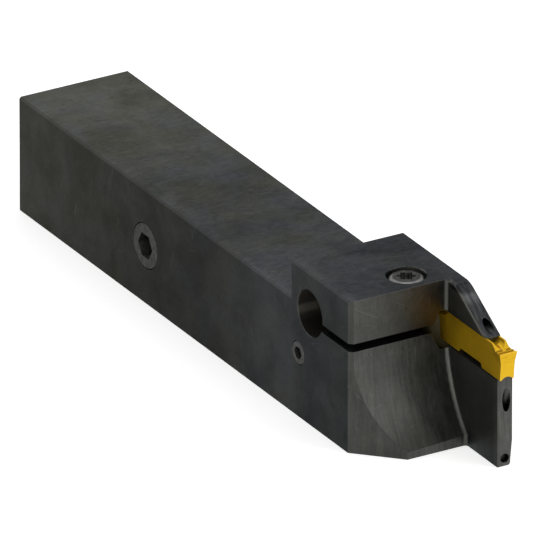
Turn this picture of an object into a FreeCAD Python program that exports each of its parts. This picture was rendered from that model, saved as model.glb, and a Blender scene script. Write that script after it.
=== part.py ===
import FreeCAD, Part
import math
import os
import re
import Sketcher

# Grooving tool holder with a square shank, a raised head and a clamped two-ended insert.
# Frame: origin on the bottom face, at the rear end and in the middle of the shank's width.
# +X runs forward to the cutting edge, +Y to the side that carries the blade, +Z up.
# Lengths are in millimetres and angles in degrees.

SIZES = {
    # Shank and head
    "shank_width": 25.0,
    "shank_height": 25.0,
    "shank_length": 108.8,
    "head_length": 22.86,
    "head_rise": 8.0,
    "lip_reach": 7.74,
    "corner_cut": 8.6,
    "edge_break": 0.4,
    # Hollow in front of the lower jaw
    "scoop_radius": 29.0,
    "scoop_drop": 3.6,
    "scoop_tilt": 4.0,
    "root_fillet": 0.8,
    # Blade below the insert and finger above it
    "blade_reach": 11.9,
    "blade_thickness": 3.34,
    "blade_proud": 0.4,
    "blade_relief": 0.5,
    "blade_relief_height": 5.4,
    "blade_foot_round": 0.5,
    "knee_reach": 3.14,
    "finger_slope": 30.1,
    "finger_round": 5.5,
    "finger_blunt": 0.1,
    # Flexure
    "hinge_web": 2.25,
    "hinge_drop": 5.6,
    "hinge_diameter": 9.6,
    "slot_drop": 3.0,
    "slot_width": 1.75,
    "rim_chamfer": 0.2,
    # Relief drilling behind the seat
    "relief_lead": 1.25,
    "relief_drop": 2.75,
    "relief_diameter": 9.2,
    "relief_depth": 5.05,
    "drill_point": 118.0,
    # Insert and its seat
    "insert_overhang": 1.35,
    "insert_length": 24.2,
    "insert_depth": 5.95,
    "insert_rise": 1.0,
    "insert_body_width": 3.14,
    "cutting_width": 4.0,
    "flank_angle": 6.0,
    "side_relief_height": 2.4,
    "edge_block_length": 3.4,
    "chip_land": 0.3,
    "chip_floor": 0.85,
    "chip_crest": 1.4,
    "chip_second_floor": 1.95,
    "chip_back": 2.4,
    "chip_ramp": 3.75,
    "chip_dip": 0.2,
    "chip_crest_dip": 0.03,
    "chip_rib_width": 0.7,
    "chip_rib_height": 0.6,
    "belly_length": 7.6,
    "belly_relief": 0.95,
    "belly_step": 0.5,
    "seat_gap": 0.02,
    "seat_crown": 0.65,
    "seat_half_width": 1.25,
    "ridge_crown": 1.0,
    "ridge_half_width": 1.2,
    # Clamp screw
    "screw_setback": 5.66,
    "screw_offset": 3.55,
    "screw_sink": 0.2,
    "screw_head_diameter": 7.6,
    "screw_head_height": 3.8,
    "screw_flat_diameter": 5.0,
    "screw_crown_drop": 0.7,
    "screw_crown_radius": 2.5,
    "screw_diameter": 4.0,
    "screw_length": 18.0,
    "screw_end_chamfer": 0.6,
    "counterbore_diameter": 8.0,
    "counterbore_chamfer": 0.15,
    "screw_clearance": 0.25,
    "screw_hole_spare": 2.0,
    "lobe_reach": 1.92,
    "lobe_radius": 0.5,
    "lobe_core": 1.42,
    "lobe_depth": 1.9,
    # Coolant way
    "thread_gap": 0.02,
    "inlet_diameter": 8.6,
    "inlet_depth": 10.0,
    "channel_diameter": 5.0,
    "cross_lead": 2.4,
    "cross_rise": 1.25,
    "cross_diameter": 4.2,
    "thin_channel_diameter": 1.5,
    "feed_diameter": 1.2,
    "feed_lean": 6.5,
    "feed_cover": 1.8,
    "feed_inset": 1.83,
    "outlet_diameter": 1.8,
    "outlet_shift": 0.3,
    "lower_outlet_drop": 10.7,
    "lower_outlet_angle": 69.6,
    "lower_outlet_depth": 12.5,
    "upper_outlet_reach": 9.7,
    # Plugs
    "side_plug_position": 50.6,
    "side_plug_diameter": 9.73,
    "side_plug_length": 8.0,
    "side_plug_chamfer": 0.25,
    "side_plug_key": 5.0,
    "side_plug_key_depth": 4.5,
    "channel_plug_diameter": 5.0,
    "channel_plug_length": 5.0,
    "channel_plug_chamfer": 0.2,
    "channel_plug_key": 2.5,
    "channel_plug_key_depth": 2.6,
    "blade_plug_height": 1.65,
    "blade_plug_diameter": 1.9,
    "blade_plug_length": 2.5,
    "blade_plug_chamfer": 0.2,
    "blade_plug_sink": 0.9,
    # How far cuts run out past the solid, and joined pieces into it
    "cut_spare": 1.0,
}

# Places that follow from the sizes above
JAW_FACE = "(shank_length + head_length)"
LIP_FACE = f"({JAW_FACE} + lip_reach)"
BLADE_FRONT = f"({LIP_FACE} + blade_reach)"
HEAD_TOP = "(shank_height + head_rise)"
FINGER_KNEE = f"({JAW_FACE} + knee_reach)"
SCOOP_TOP = "(shank_height - scoop_drop)"
SLOT_BOTTOM = "(shank_height - slot_drop)"
HINGE_X = "(shank_length + hinge_web + hinge_diameter / 2)"
HINGE_Z = "(shank_height - hinge_drop + hinge_diameter / 2)"
INSERT_TIP = f"({BLADE_FRONT} + insert_overhang)"
RELIEF_X = f"({INSERT_TIP} - insert_length + relief_lead)"
RELIEF_Z = "(shank_height - relief_drop)"
SCREW_X = f"({JAW_FACE} - screw_setback)"
CROSS_X = "(shank_length + cross_lead)"
CHANNEL_Z = "(shank_height / 2)"
CROSS_Z = f"({CHANNEL_Z} + cross_rise)"
FEED_X = "(shank_length + feed_inset)"
FEED_TOP = f"({HEAD_TOP} - feed_cover)"
NEAR_SIDE = "(0 - shank_width / 2)"
BLADE_FAR = "(shank_width / 2 + blade_proud)"
BLADE_NEAR = "(shank_width / 2 + blade_proud - blade_thickness)"
BLADE_MIDDLE = "(shank_width / 2 + blade_proud - blade_thickness / 2)"
OUTLET_SIDE = "(shank_width / 2 + blade_proud - blade_thickness / 2 + outlet_shift)"
SEAT_EDGE = "(shank_height - insert_depth - seat_gap)"
FINGER_EDGE = "(shank_height + insert_rise + seat_gap)"
SLANT = "tan(finger_slope * 1 deg)"
FINGER_TIP = f"({FINGER_KNEE} + ({HEAD_TOP} - {FINGER_EDGE} - finger_blunt) / {SLANT})"
SCREW_TOP = f"({HEAD_TOP} - screw_sink)"
SCREW_SEAT = f"({SCREW_TOP} - screw_head_height)"

V = FreeCAD.Vector
doc = FreeCAD.newDocument("GroovingToolHolder")
sheet = doc.addObject("Spreadsheet::Sheet", "Sizes")


def fill_sheet():
    for row, (alias, number) in enumerate(SIZES.items(), start=1):
        sheet.set(f"A{row}", alias)
        sheet.set(f"B{row}", str(number))
        sheet.setAlias(f"B{row}", alias)
    doc.recompute()


def in_sheet(formula):
    """The formula with every size read from the sheet."""
    return re.sub(r"\b[a-z]+(?:_[a-z]+)+\b", lambda word: f"Sizes.{word.group(0)}", formula)


def value(formula):
    return float(sheet.evalExpression(in_sheet(formula).replace("Sizes.", "")))


def bind(thing, path, formula):
    thing.setExpression(path, in_sheet(formula))


def origin_part(body, role):
    return next(part for part in body.Origin.OriginFeatures if part.Role == role)


def new_body(name):
    body = doc.addObject("PartDesign::Body", name.title().replace("_", ""))
    body.Label = name
    return body


def place(body, x, y, z, turn=None):
    """Puts a body's own origin at x, y, z, with an optional turn about an axis."""
    if turn:
        axis, angle = turn
        body.Placement = FreeCAD.Placement(V(), FreeCAD.Rotation(axis, angle))
    for letter, formula in zip("xyz", (x, y, z)):
        bind(body, f"Placement.Base.{letter}", formula)


def new_sketch(body, name, plane, shift=("0", "0", "0"), tilt=None):
    """A sketch on an origin plane, shifted in its own axes and tilted about its own x axis."""
    sketch = body.newObject("Sketcher::SketchObject", name)
    sketch.AttachmentSupport = [(origin_part(body, plane), "")]
    sketch.MapMode = "FlatFace"
    if tilt:
        turned = FreeCAD.Rotation(V(1, 0, 0), value(tilt))
        sketch.AttachmentOffset = FreeCAD.Placement(V(), turned)
        bind(sketch, "AttachmentOffset.Rotation.Angle", f"({tilt}) * 1 deg")
    for letter, formula in zip("xyz", shift):
        bind(sketch, f"AttachmentOffset.Base.{letter}", formula)
    return sketch


def pin_point(sketch, edge, end, x, y):
    """Ties one end of an edge, or a circle's centre, to a place in the sketch."""
    for kind, formula, axis in (("DistanceX", x, -2), ("DistanceY", y, -1)):
        if formula == "0":
            sketch.addConstraint(Sketcher.Constraint("PointOnObject", edge, end, axis))
        else:
            number = value(formula)
            index = sketch.addConstraint(Sketcher.Constraint(kind, -1, 1, edge, end, number))
            bind(sketch, f"Constraints[{index}]", formula)


def arc_middle(start, end, radius, side):
    """The middle point of the short arc from start to end that bulges to its left or right."""
    chord = end - start
    half = chord.Length / 2
    rise = radius - math.sqrt(max(radius**2 - half**2, 0.0))
    left = V(-chord.y, chord.x, 0).normalize()
    return (start + end) / 2 + left * (rise if side == "left" else -rise)


def trace(sketch, corners, arcs=None):
    """Draws a closed outline. arcs gives, for a side's number, its radius and bulge."""
    arcs = arcs or {}
    points = [V(value(x), value(y), 0) for x, y in corners]
    ends = []
    for number, start in enumerate(points):
        end = points[(number + 1) % len(points)]
        if number in arcs:
            radius, side = arcs[number]
            middle = arc_middle(start, end, value(radius), side)
            forward = side == "right"
            sketch.addGeometry(Part.Arc(start, middle, end) if forward else Part.Arc(end, middle, start))
            ends.append((1, 2) if forward else (2, 1))
        else:
            sketch.addGeometry(Part.LineSegment(start, end))
            ends.append((1, 2))
    for number in range(len(points)):
        after = (number + 1) % len(points)
        joint = Sketcher.Constraint("Coincident", number, ends[number][1], after, ends[after][0])
        sketch.addConstraint(joint)
    for number, (x, y) in enumerate(corners):
        pin_point(sketch, number, ends[number][0], x, y)
    for number, (radius, side) in arcs.items():
        index = sketch.addConstraint(Sketcher.Constraint("Radius", number, value(radius)))
        bind(sketch, f"Constraints[{index}]", radius)


def ring(sketch, x, y, diameter):
    edge = sketch.addGeometry(Part.Circle(V(value(x), value(y), 0), V(0, 0, 1), value(diameter) / 2))
    if x == "0" and y == "0":
        sketch.addConstraint(Sketcher.Constraint("Coincident", edge, 3, -1, 1))
    else:
        pin_point(sketch, edge, 3, x, y)
    index = sketch.addConstraint(Sketcher.Constraint("Diameter", edge, value(diameter)))
    bind(sketch, f"Constraints[{index}]", diameter)


def extrude(body, kind, name, sketch, length, side_type="One side", flipped=False):
    """Pads or pockets a sketch, and makes sure that the solid grew or shrank."""
    before = body.Shape.Volume if not body.Shape.isNull() else 0.0
    feature = body.newObject(f"PartDesign::{kind}", name)
    feature.Profile = sketch
    feature.SideType = side_type
    feature.Reversed = flipped
    bind(feature, "Length", length)
    doc.recompute()
    require_change(kind, name, before, body.Shape.Volume)
    return feature


def require_change(kind, name, before, after):
    grew = after > before + 1e-6
    shrank = after < before - 1e-6
    if not (grew if kind == "Pad" else shrank):
        raise RuntimeError(f"{name} changed nothing")


def side_slab(body, kind, name, corners, y_start, thickness, arcs=None):
    """A side view outline in x and z, carried from y_start towards +Y."""
    sketch = new_sketch(body, f"{name}Outline", "XZ_Plane", ("0", "0", f"0 - ({y_start})"))
    trace(sketch, corners, arcs)
    return extrude(body, kind, name, sketch, thickness, flipped=kind == "Pad")


def front_bar(body, kind, name, corners, x_start, length, arcs=None):
    """A front view outline in y and z, carried along X: pads forward, pockets backward."""
    sketch = new_sketch(body, f"{name}Outline", "YZ_Plane", ("0", "0", x_start))
    trace(sketch, corners, arcs)
    return extrude(body, kind, name, sketch, length)


def drill_down(body, name, x, y, z_start, diameter, depth):
    sketch = new_sketch(body, f"{name}Ring", "XY_Plane", ("0", "0", z_start))
    ring(sketch, x, y, diameter)
    return extrude(body, "Pocket", name, sketch, depth)


def drill_side(body, name, x, z, y_start, diameter, depth):
    """A hole that starts at y_start and goes towards +Y."""
    sketch = new_sketch(body, f"{name}Ring", "XZ_Plane", ("0", "0", f"0 - ({y_start})"))
    ring(sketch, x, z, diameter)
    return extrude(body, "Pocket", name, sketch, depth)


def drill_along(body, name, y, z, x_start, diameter, depth, forward=False):
    """A hole along X: backward from its start, or forward."""
    sketch = new_sketch(body, f"{name}Ring", "YZ_Plane", ("0", "0", x_start))
    ring(sketch, y, z, diameter)
    return extrude(body, "Pocket", name, sketch, depth, flipped=forward)


def drill_slanted(body, name, x, y, z, rise, diameter, depth):
    """A hole from x, y, z backward, rising by an angle. It is cut outward as far, through air."""
    sketch = new_sketch(body, f"{name}Ring", "YZ_Plane", (y, z, x), tilt=rise)
    ring(sketch, "0", "0", diameter)
    return extrude(body, "Pocket", name, sketch, f"2 * ({depth})", "Symmetric")


def edges_where(shape, test):
    """Names of the edges whose ends and middle all pass a test."""
    names = []
    for number, edge in enumerate(shape.Edges, start=1):
        first, last = edge.ParameterRange
        spots = [edge.valueAt(first + (last - first) * share) for share in (0.0, 0.5, 1.0)]
        if all(test(spot) for spot in spots):
            names.append(f"Edge{number}")
    return names


def dress(body, kind, name, base, test, size_name, formula):
    """A fillet or chamfer on the edges that pass a test."""
    names = edges_where(base.Shape, test)
    if not names:
        raise RuntimeError(f"{name} found no edge")
    feature = body.newObject(f"PartDesign::{kind}", name)
    feature.Base = (base, names)
    bind(feature, size_name, formula)
    doc.recompute()
    return feature


def close(first, second, reach=0.01):
    return abs(first - second) < reach


def make_shank_and_head(body):
    """The square bar, the raised head, the scooped front and the cut near corner."""
    side_slab(
        body,
        "Pad",
        "Shank",
        [("0", "0"), (LIP_FACE, "0"), (LIP_FACE, "shank_height"), ("0", "shank_height")],
        NEAR_SIDE,
        "shank_width",
    )
    side_slab(
        body,
        "Pad",
        "Head",
        [
            ("shank_length", "0"),
            (LIP_FACE, "0"),
            (LIP_FACE, HEAD_TOP),
            ("shank_length", HEAD_TOP),
        ],
        NEAR_SIDE,
        "shank_width + blade_proud",
    )
    scoop = new_sketch(body, "ScoopOutline", "XZ_Plane", tilt="scoop_tilt")
    reach = f"({LIP_FACE} - {JAW_FACE})"
    lip_top = f"({SCOOP_TOP} - sqrt(scoop_radius ^ 2 - (scoop_radius - {reach}) ^ 2))"
    trace(
        scoop,
        [
            (JAW_FACE, SCOOP_TOP),
            (LIP_FACE, lip_top),
            (f"2 * {LIP_FACE}", lip_top),
            (f"2 * {LIP_FACE}", f"2 * {HEAD_TOP}"),
            (JAW_FACE, f"2 * {HEAD_TOP}"),
        ],
        {0: ("scoop_radius", "right")},
    )
    extrude(body, "Pocket", "Scoop", scoop, "4 * shank_width", "Symmetric")
    corner = new_sketch(body, "CornerOutline", "XY_Plane", ("0", "0", f"2 * {HEAD_TOP}"))
    trace(
        corner,
        [
            (f"{LIP_FACE} - corner_cut", NEAR_SIDE),
            (LIP_FACE, NEAR_SIDE),
            (LIP_FACE, f"{NEAR_SIDE} + corner_cut"),
        ],
    )
    base = extrude(body, "Pocket", "CornerCut", corner, f"3 * {HEAD_TOP}")
    near = value(NEAR_SIDE)
    tops = (value("shank_height"), value(HEAD_TOP))
    dress(
        body,
        "Chamfer",
        "NearTopEdges",
        base,
        lambda spot: close(spot.y, near) and any(close(spot.z, top) for top in tops),
        "Size",
        "edge_break",
    )


def make_blade_and_finger(body):
    """The plate that carries the insert, its crowned seat, and the finger that holds it."""
    root = f"({JAW_FACE} - slot_width)"
    side_slab(
        body,
        "Pad",
        "Blade",
        [(root, "0"), (BLADE_FRONT, "0"), (BLADE_FRONT, SEAT_EDGE), (root, SEAT_EDGE)],
        BLADE_NEAR,
        "blade_thickness",
    )
    crown_radius = "((seat_half_width ^ 2 + seat_crown ^ 2) / (2 * seat_crown))"
    left = f"({BLADE_MIDDLE} - seat_half_width)"
    right = f"({BLADE_MIDDLE} + seat_half_width)"
    front_bar(
        body,
        "Pad",
        "SeatCrown",
        [
            (right, SEAT_EDGE),
            (left, SEAT_EDGE),
            (left, f"{SEAT_EDGE} - cut_spare"),
            (right, f"{SEAT_EDGE} - cut_spare"),
        ],
        root,
        f"{BLADE_FRONT} - {root}",
        {0: (crown_radius, "right")},
    )
    tip = f"({FINGER_TIP} + cut_spare)"
    side_slab(
        body,
        "Pad",
        "Finger",
        [(root, FINGER_EDGE), (tip, FINGER_EDGE), (tip, HEAD_TOP), (root, HEAD_TOP)],
        BLADE_NEAR,
        "blade_thickness",
    )
    ridge_radius = "((ridge_half_width ^ 2 + ridge_crown ^ 2) / (2 * ridge_crown))"
    left = f"({BLADE_MIDDLE} - ridge_half_width)"
    right = f"({BLADE_MIDDLE} + ridge_half_width)"
    front_bar(
        body,
        "Pad",
        "FingerRidge",
        [
            (left, FINGER_EDGE),
            (right, FINGER_EDGE),
            (right, f"{FINGER_EDGE} + cut_spare"),
            (left, f"{FINGER_EDGE} + cut_spare"),
        ],
        root,
        f"{tip} - {root}",
        {0: (ridge_radius, "right")},
    )
    run = "(finger_round * tan(finger_slope * 0.5 deg))"
    slope = "finger_slope * 1 deg"
    below = f"({FINGER_EDGE} - ridge_crown - cut_spare)"
    base = side_slab(
        body,
        "Pocket",
        "FingerSlope",
        [
            (f"{FINGER_KNEE} - {run}", HEAD_TOP),
            (f"{FINGER_KNEE} + {run} * cos({slope})", f"{HEAD_TOP} - {run} * sin({slope})"),
            (FINGER_TIP, f"{FINGER_EDGE} + finger_blunt"),
            (FINGER_TIP, below),
            (f"{FINGER_TIP} + 2 * cut_spare", below),
            (f"{FINGER_TIP} + 2 * cut_spare", f"{HEAD_TOP} + cut_spare"),
            (f"{FINGER_KNEE} - {run}", f"{HEAD_TOP} + cut_spare"),
        ],
        f"{BLADE_NEAR} - cut_spare",
        "blade_thickness + 2 * cut_spare",
        {0: ("finger_round", "left")},
    )
    plate = value(BLADE_NEAR)
    front = value(JAW_FACE) - 0.01
    lip = value(LIP_FACE) + 0.01
    dress(
        body,
        "Fillet",
        "RootFillet",
        base,
        lambda spot: close(spot.y, plate) and front < spot.x < lip,
        "Radius",
        "root_fillet",
    )
    side_slab(
        body,
        "Pocket",
        "InsertPocket",
        [(RELIEF_X, SEAT_EDGE), (JAW_FACE, SEAT_EDGE), (JAW_FACE, FINGER_EDGE), (RELIEF_X, FINGER_EDGE)],
        BLADE_NEAR,
        "blade_thickness",
    )
    relief = front_bar(
        body,
        "Pocket",
        "BladeRelief",
        [
            (BLADE_FAR, "blade_relief_height"),
            (f"{BLADE_FAR} - blade_relief", "0"),
            (f"{BLADE_FAR} - blade_relief", "0 - cut_spare"),
            (f"{BLADE_FAR} + cut_spare", "0 - cut_spare"),
            (f"{BLADE_FAR} + cut_spare", "blade_relief_height"),
        ],
        f"{BLADE_FRONT} + cut_spare",
        f"{BLADE_FRONT} - {JAW_FACE} + cut_spare",
    )
    foot = value(f"{BLADE_FAR} - blade_relief")
    dress(
        body,
        "Fillet",
        "BladeFoot",
        relief,
        lambda spot: close(spot.z, 0) and close(spot.y, foot) and spot.x > front,
        "Radius",
        "blade_foot_round",
    )


def make_flexure(body):
    """Hinge hole, slot, and the drilling behind the seat that frees the insert's rear edge."""
    through = "shank_width + blade_proud"
    hole = drill_side(body, "HingeHole", HINGE_X, HINGE_Z, NEAR_SIDE, "hinge_diameter", through)
    centre = V(value(HINGE_X), 0, value(HINGE_Z))
    radius = value("hinge_diameter") / 2
    rims = (value(NEAR_SIDE), value(BLADE_FAR))

    def on_rim(spot):
        flat = V(spot.x - centre.x, 0, spot.z - centre.z)
        return close(flat.Length, radius) and any(close(spot.y, rim) for rim in rims)

    dress(body, "Chamfer", "HingeRims", hole, on_rim, "Size", "rim_chamfer")
    side_slab(
        body,
        "Pocket",
        "FlexureSlot",
        [
            (HINGE_X, SLOT_BOTTOM),
            (f"{JAW_FACE} + root_fillet", SLOT_BOTTOM),
            (f"{JAW_FACE} + root_fillet", f"{SLOT_BOTTOM} + slot_width"),
            (HINGE_X, f"{SLOT_BOTTOM} + slot_width"),
        ],
        NEAR_SIDE,
        through,
    )
    axis_side = new_sketch(body, "ReliefOutline", "XY_Plane", ("0", "0", RELIEF_Z))
    radius_name = "relief_diameter / 2"
    shoulder = f"({BLADE_FAR} - relief_depth)"
    point = f"({shoulder} - {radius_name} / tan(drill_point * 0.5 deg))"
    trace(
        axis_side,
        [
            (RELIEF_X, f"{BLADE_FAR} + cut_spare"),
            (RELIEF_X, point),
            (f"{RELIEF_X} + {radius_name}", shoulder),
            (f"{RELIEF_X} + {radius_name}", f"{BLADE_FAR} + cut_spare"),
        ],
    )
    before = body.Shape.Volume
    relief = body.newObject("PartDesign::Groove", "SeatRelief")
    relief.Profile = axis_side
    relief.ReferenceAxis = (axis_side, ["Edge1"])
    relief.Angle = 360
    doc.recompute()
    require_change("Groove", "SeatRelief", before, body.Shape.Volume)


def make_screw_hole(body):
    """Counterbore and clearance hole in the upper jaw, thread hole in the lower jaw."""
    at = (SCREW_X, "screw_offset")
    bore = drill_down(
        body,
        "Counterbore",
        *at,
        HEAD_TOP,
        "counterbore_diameter",
        f"{HEAD_TOP} - {SCREW_SEAT}",
    )
    centre = V(value(at[0]), value(at[1]), value(HEAD_TOP))
    radius = value("counterbore_diameter") / 2
    dress(
        body,
        "Chamfer",
        "CounterboreRim",
        bore,
        lambda spot: close(spot.distanceToPoint(centre), radius),
        "Size",
        "counterbore_chamfer",
    )
    drill_down(
        body,
        "ScrewClearance",
        *at,
        SCREW_SEAT,
        "screw_diameter + 2 * screw_clearance",
        f"{SCREW_SEAT} - {SLOT_BOTTOM} - slot_width / 2",
    )
    drill_down(
        body,
        "ScrewThread",
        *at,
        f"{SLOT_BOTTOM} + slot_width / 2",
        "screw_diameter + 2 * thread_gap",
        f"{SLOT_BOTTOM} + slot_width / 2 - {SCREW_SEAT} + screw_length + screw_hole_spare",
    )


def make_coolant_way(body):
    """Rear inlet, main channel, side port, cross drilling and the two jets at the insert."""
    drill_along(body, "Inlet", "0", CHANNEL_Z, "0", "inlet_diameter", "inlet_depth", True)
    drill_along(body, "MainChannel", "0", CHANNEL_Z, "0", "channel_diameter", CROSS_X, True)
    drill_side(
        body,
        "SidePort",
        "side_plug_position",
        CHANNEL_Z,
        NEAR_SIDE,
        "side_plug_diameter + 2 * thread_gap",
        "side_plug_length",
    )
    drill_side(
        body,
        "SideDrilling",
        "side_plug_position",
        CHANNEL_Z,
        NEAR_SIDE,
        "channel_diameter",
        "shank_width / 2",
    )
    drill_side(
        body,
        "CrossPort",
        CROSS_X,
        CROSS_Z,
        NEAR_SIDE,
        "channel_plug_diameter + 2 * thread_gap",
        "channel_plug_length",
    )
    drill_side(
        body,
        "CrossDrilling",
        CROSS_X,
        CROSS_Z,
        NEAR_SIDE,
        "cross_diameter",
        f"{BLADE_MIDDLE} + shank_width / 2 + thin_channel_diameter / 2",
    )
    drill_along(
        body,
        "BladePort",
        BLADE_MIDDLE,
        "blade_plug_height",
        BLADE_FRONT,
        "blade_plug_diameter + 2 * thread_gap",
        "blade_plug_length + blade_plug_sink",
    )
    start = f"({BLADE_FRONT} - blade_plug_length - blade_plug_sink)"
    run = f"({start} - {CROSS_X})"
    climb = f"({CROSS_Z} - blade_plug_height)"
    sketch = new_sketch(
        body,
        "BladeDrillingRing",
        "YZ_Plane",
        (BLADE_MIDDLE, "blade_plug_height", start),
        tilt=f"atan({climb} / {run}) / 1 deg",
    )
    ring(sketch, "0", "0", "thin_channel_diameter")
    extrude(body, "Pocket", "BladeDrilling", sketch, f"sqrt({climb} ^ 2 + {run} ^ 2)")
    drill_slanted(
        body,
        "LowerOutlet",
        BLADE_FRONT,
        OUTLET_SIDE,
        "shank_height - lower_outlet_drop",
        "0 - lower_outlet_angle",
        "outlet_diameter",
        "lower_outlet_depth",
    )
    outlet_x = f"({FINGER_KNEE} + upper_outlet_reach)"
    outlet_z = f"({HEAD_TOP} - upper_outlet_reach * {SLANT})"
    run = f"({outlet_x} - {FEED_X})"
    climb = f"({FEED_TOP} - {outlet_z})"
    drill_slanted(
        body,
        "UpperOutlet",
        outlet_x,
        OUTLET_SIDE,
        outlet_z,
        f"atan({climb} / {run}) / 1 deg",
        "outlet_diameter",
        f"sqrt({climb} ^ 2 + {run} ^ 2)",
    )
    feed = new_sketch(
        body,
        "FeedRing",
        "YZ_Plane",
        (OUTLET_SIDE, FEED_TOP, FEED_X),
        tilt="feed_lean - 90",
    )
    ring(feed, "0", "0", "feed_diameter")
    depth = f"({FEED_TOP} - {CHANNEL_Z}) / cos(feed_lean * 1 deg)"
    extrude(body, "Pocket", "FeedDrilling", feed, depth)


def make_holder_body():
    body = new_body("holder_body")
    make_shank_and_head(body)
    make_blade_and_finger(body)
    make_flexure(body)
    make_screw_hole(body)
    make_coolant_way(body)
    return body


def groove_corners(half_width, edge, outward):
    """A crowned groove's section across the insert, from its edge height outward."""
    return [
        (f"0 - {half_width}", edge),
        (half_width, edge),
        (half_width, f"{edge} {outward} cut_spare"),
        (f"0 - {half_width}", f"{edge} {outward} cut_spare"),
    ]


def make_insert():
    """Two-ended insert. Its own origin is at mid length, mid width and cutting edge height."""
    body = new_body("insert")
    half = "(insert_length / 2)"
    lean = "(insert_depth * tan(flank_angle * 1 deg))"
    upper = [
        (half, "0"),
        (f"{half} - chip_back", "0"),
        (f"{half} - chip_ramp", "insert_rise"),
    ]
    belly = "0 - insert_depth"
    lower = [
        (f"{half} - belly_length - belly_step", "belly_relief - insert_depth"),
        (f"{half} - belly_length", belly),
        (f"{half} - {lean}", belly),
    ]
    mirrored = [(f"0 - ({x})", z) for x, z in reversed(lower + upper)]
    sketch = new_sketch(body, "SideOutline", "XZ_Plane")
    trace(sketch, lower + upper + mirrored)
    extrude(body, "Pad", "Bar", sketch, "insert_body_width", "Symmetric")

    rear = new_sketch(body, "EdgeBlockRear", "YZ_Plane", ("0", "0", f"{half} - edge_block_length"))
    inner = "(insert_body_width / 2 - seat_gap)"
    trace(
        rear,
        [
            (f"0 - {inner}", "0 - side_relief_height"),
            (inner, "0 - side_relief_height"),
            (inner, "0"),
            (f"0 - {inner}", "0"),
        ],
    )
    front = new_sketch(body, "EdgeBlockFront", "YZ_Plane", ("0", "0", half))
    trace(
        front,
        [
            (f"0 - {inner}", "0 - side_relief_height"),
            (inner, "0 - side_relief_height"),
            ("cutting_width / 2", "0"),
            ("0 - cutting_width / 2", "0"),
        ],
    )
    block = body.newObject("PartDesign::AdditiveLoft", "EdgeBlock")
    block.Profile = rear
    block.Sections = [front]
    block.Ruled = True
    doc.recompute()
    flank = new_sketch(body, "FlankOutline", "XZ_Plane")
    trace(
        flank,
        [
            (half, "0"),
            (f"{half} - 2 * {lean}", "0 - 2 * insert_depth"),
            (f"{half} + cut_spare", "0 - 2 * insert_depth"),
            (f"{half} + cut_spare", "0"),
        ],
    )
    cut = extrude(body, "Pocket", "Flank", flank, "2 * cutting_width", "Symmetric")
    mirror = body.newObject("PartDesign::Mirrored", "SecondEdge")
    mirror.Originals = [block, cut]
    mirror.MirrorPlane = (origin_part(body, "YZ_Plane"), [""])
    body.Tip = mirror
    doc.recompute()

    top_half = "(ridge_half_width + seat_gap)"
    top_radius = f"(({top_half} ^ 2 + ridge_crown ^ 2) / (2 * ridge_crown))"
    top = new_sketch(body, "TopGrooveOutline", "YZ_Plane")
    trace(top, groove_corners(top_half, "insert_rise", "+"), {0: (top_radius, "right")})
    extrude(body, "Pocket", "TopGroove", top, "2 * insert_length", "Symmetric")
    low_half = "(seat_half_width + seat_gap)"
    low_radius = f"(({low_half} ^ 2 + seat_crown ^ 2) / (2 * seat_crown))"
    low = new_sketch(body, "BellyGrooveOutline", "YZ_Plane")
    trace(low, groove_corners(low_half, belly, "-"), {0: (low_radius, "left")})
    extrude(body, "Pocket", "BellyGroove", low, "2 * insert_length", "Symmetric")

    groove = new_sketch(body, "ChipGrooveOutline", "XZ_Plane")
    trace(
        groove,
        [
            (f"{half} - chip_land", "0"),
            (f"{half} - chip_floor", "0 - chip_dip"),
            (f"{half} - chip_crest", "0 - chip_crest_dip"),
            (f"{half} - chip_second_floor", "0 - chip_dip"),
            (f"{half} - chip_back", "0"),
            (f"{half} - chip_back", "cut_spare"),
            (f"{half} - chip_land", "cut_spare"),
        ],
    )
    former = extrude(body, "Pocket", "ChipGroove", groove, "2 * cutting_width", "Symmetric")
    rib = new_sketch(body, "ChipRibOutline", "XZ_Plane")
    trace(
        rib,
        [
            (f"{half} - chip_floor", "0 - chip_dip"),
            (f"{half} - chip_ramp", "chip_rib_height"),
            (f"{half} - chip_ramp", "0 - chip_dip"),
        ],
    )
    ramp = extrude(body, "Pad", "ChipRib", rib, "chip_rib_width", "Symmetric")
    second = body.newObject("PartDesign::Mirrored", "SecondChipFormer")
    second.Originals = [former, ramp]
    second.MirrorPlane = (origin_part(body, "YZ_Plane"), [""])
    body.Tip = second
    place(body, f"{INSERT_TIP} - insert_length / 2", BLADE_MIDDLE, "shank_height")
    return body


def revolve(body, name, corners, arcs=None):
    """Turns a half section in radius and height about the body's own z axis."""
    sketch = new_sketch(body, f"{name}Section", "XZ_Plane")
    trace(sketch, corners, arcs)
    turned = body.newObject("PartDesign::Revolution", name)
    turned.Profile = sketch
    turned.ReferenceAxis = (origin_part(body, "Z_Axis"), [""])
    turned.Angle = 360
    doc.recompute()
    return turned


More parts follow.
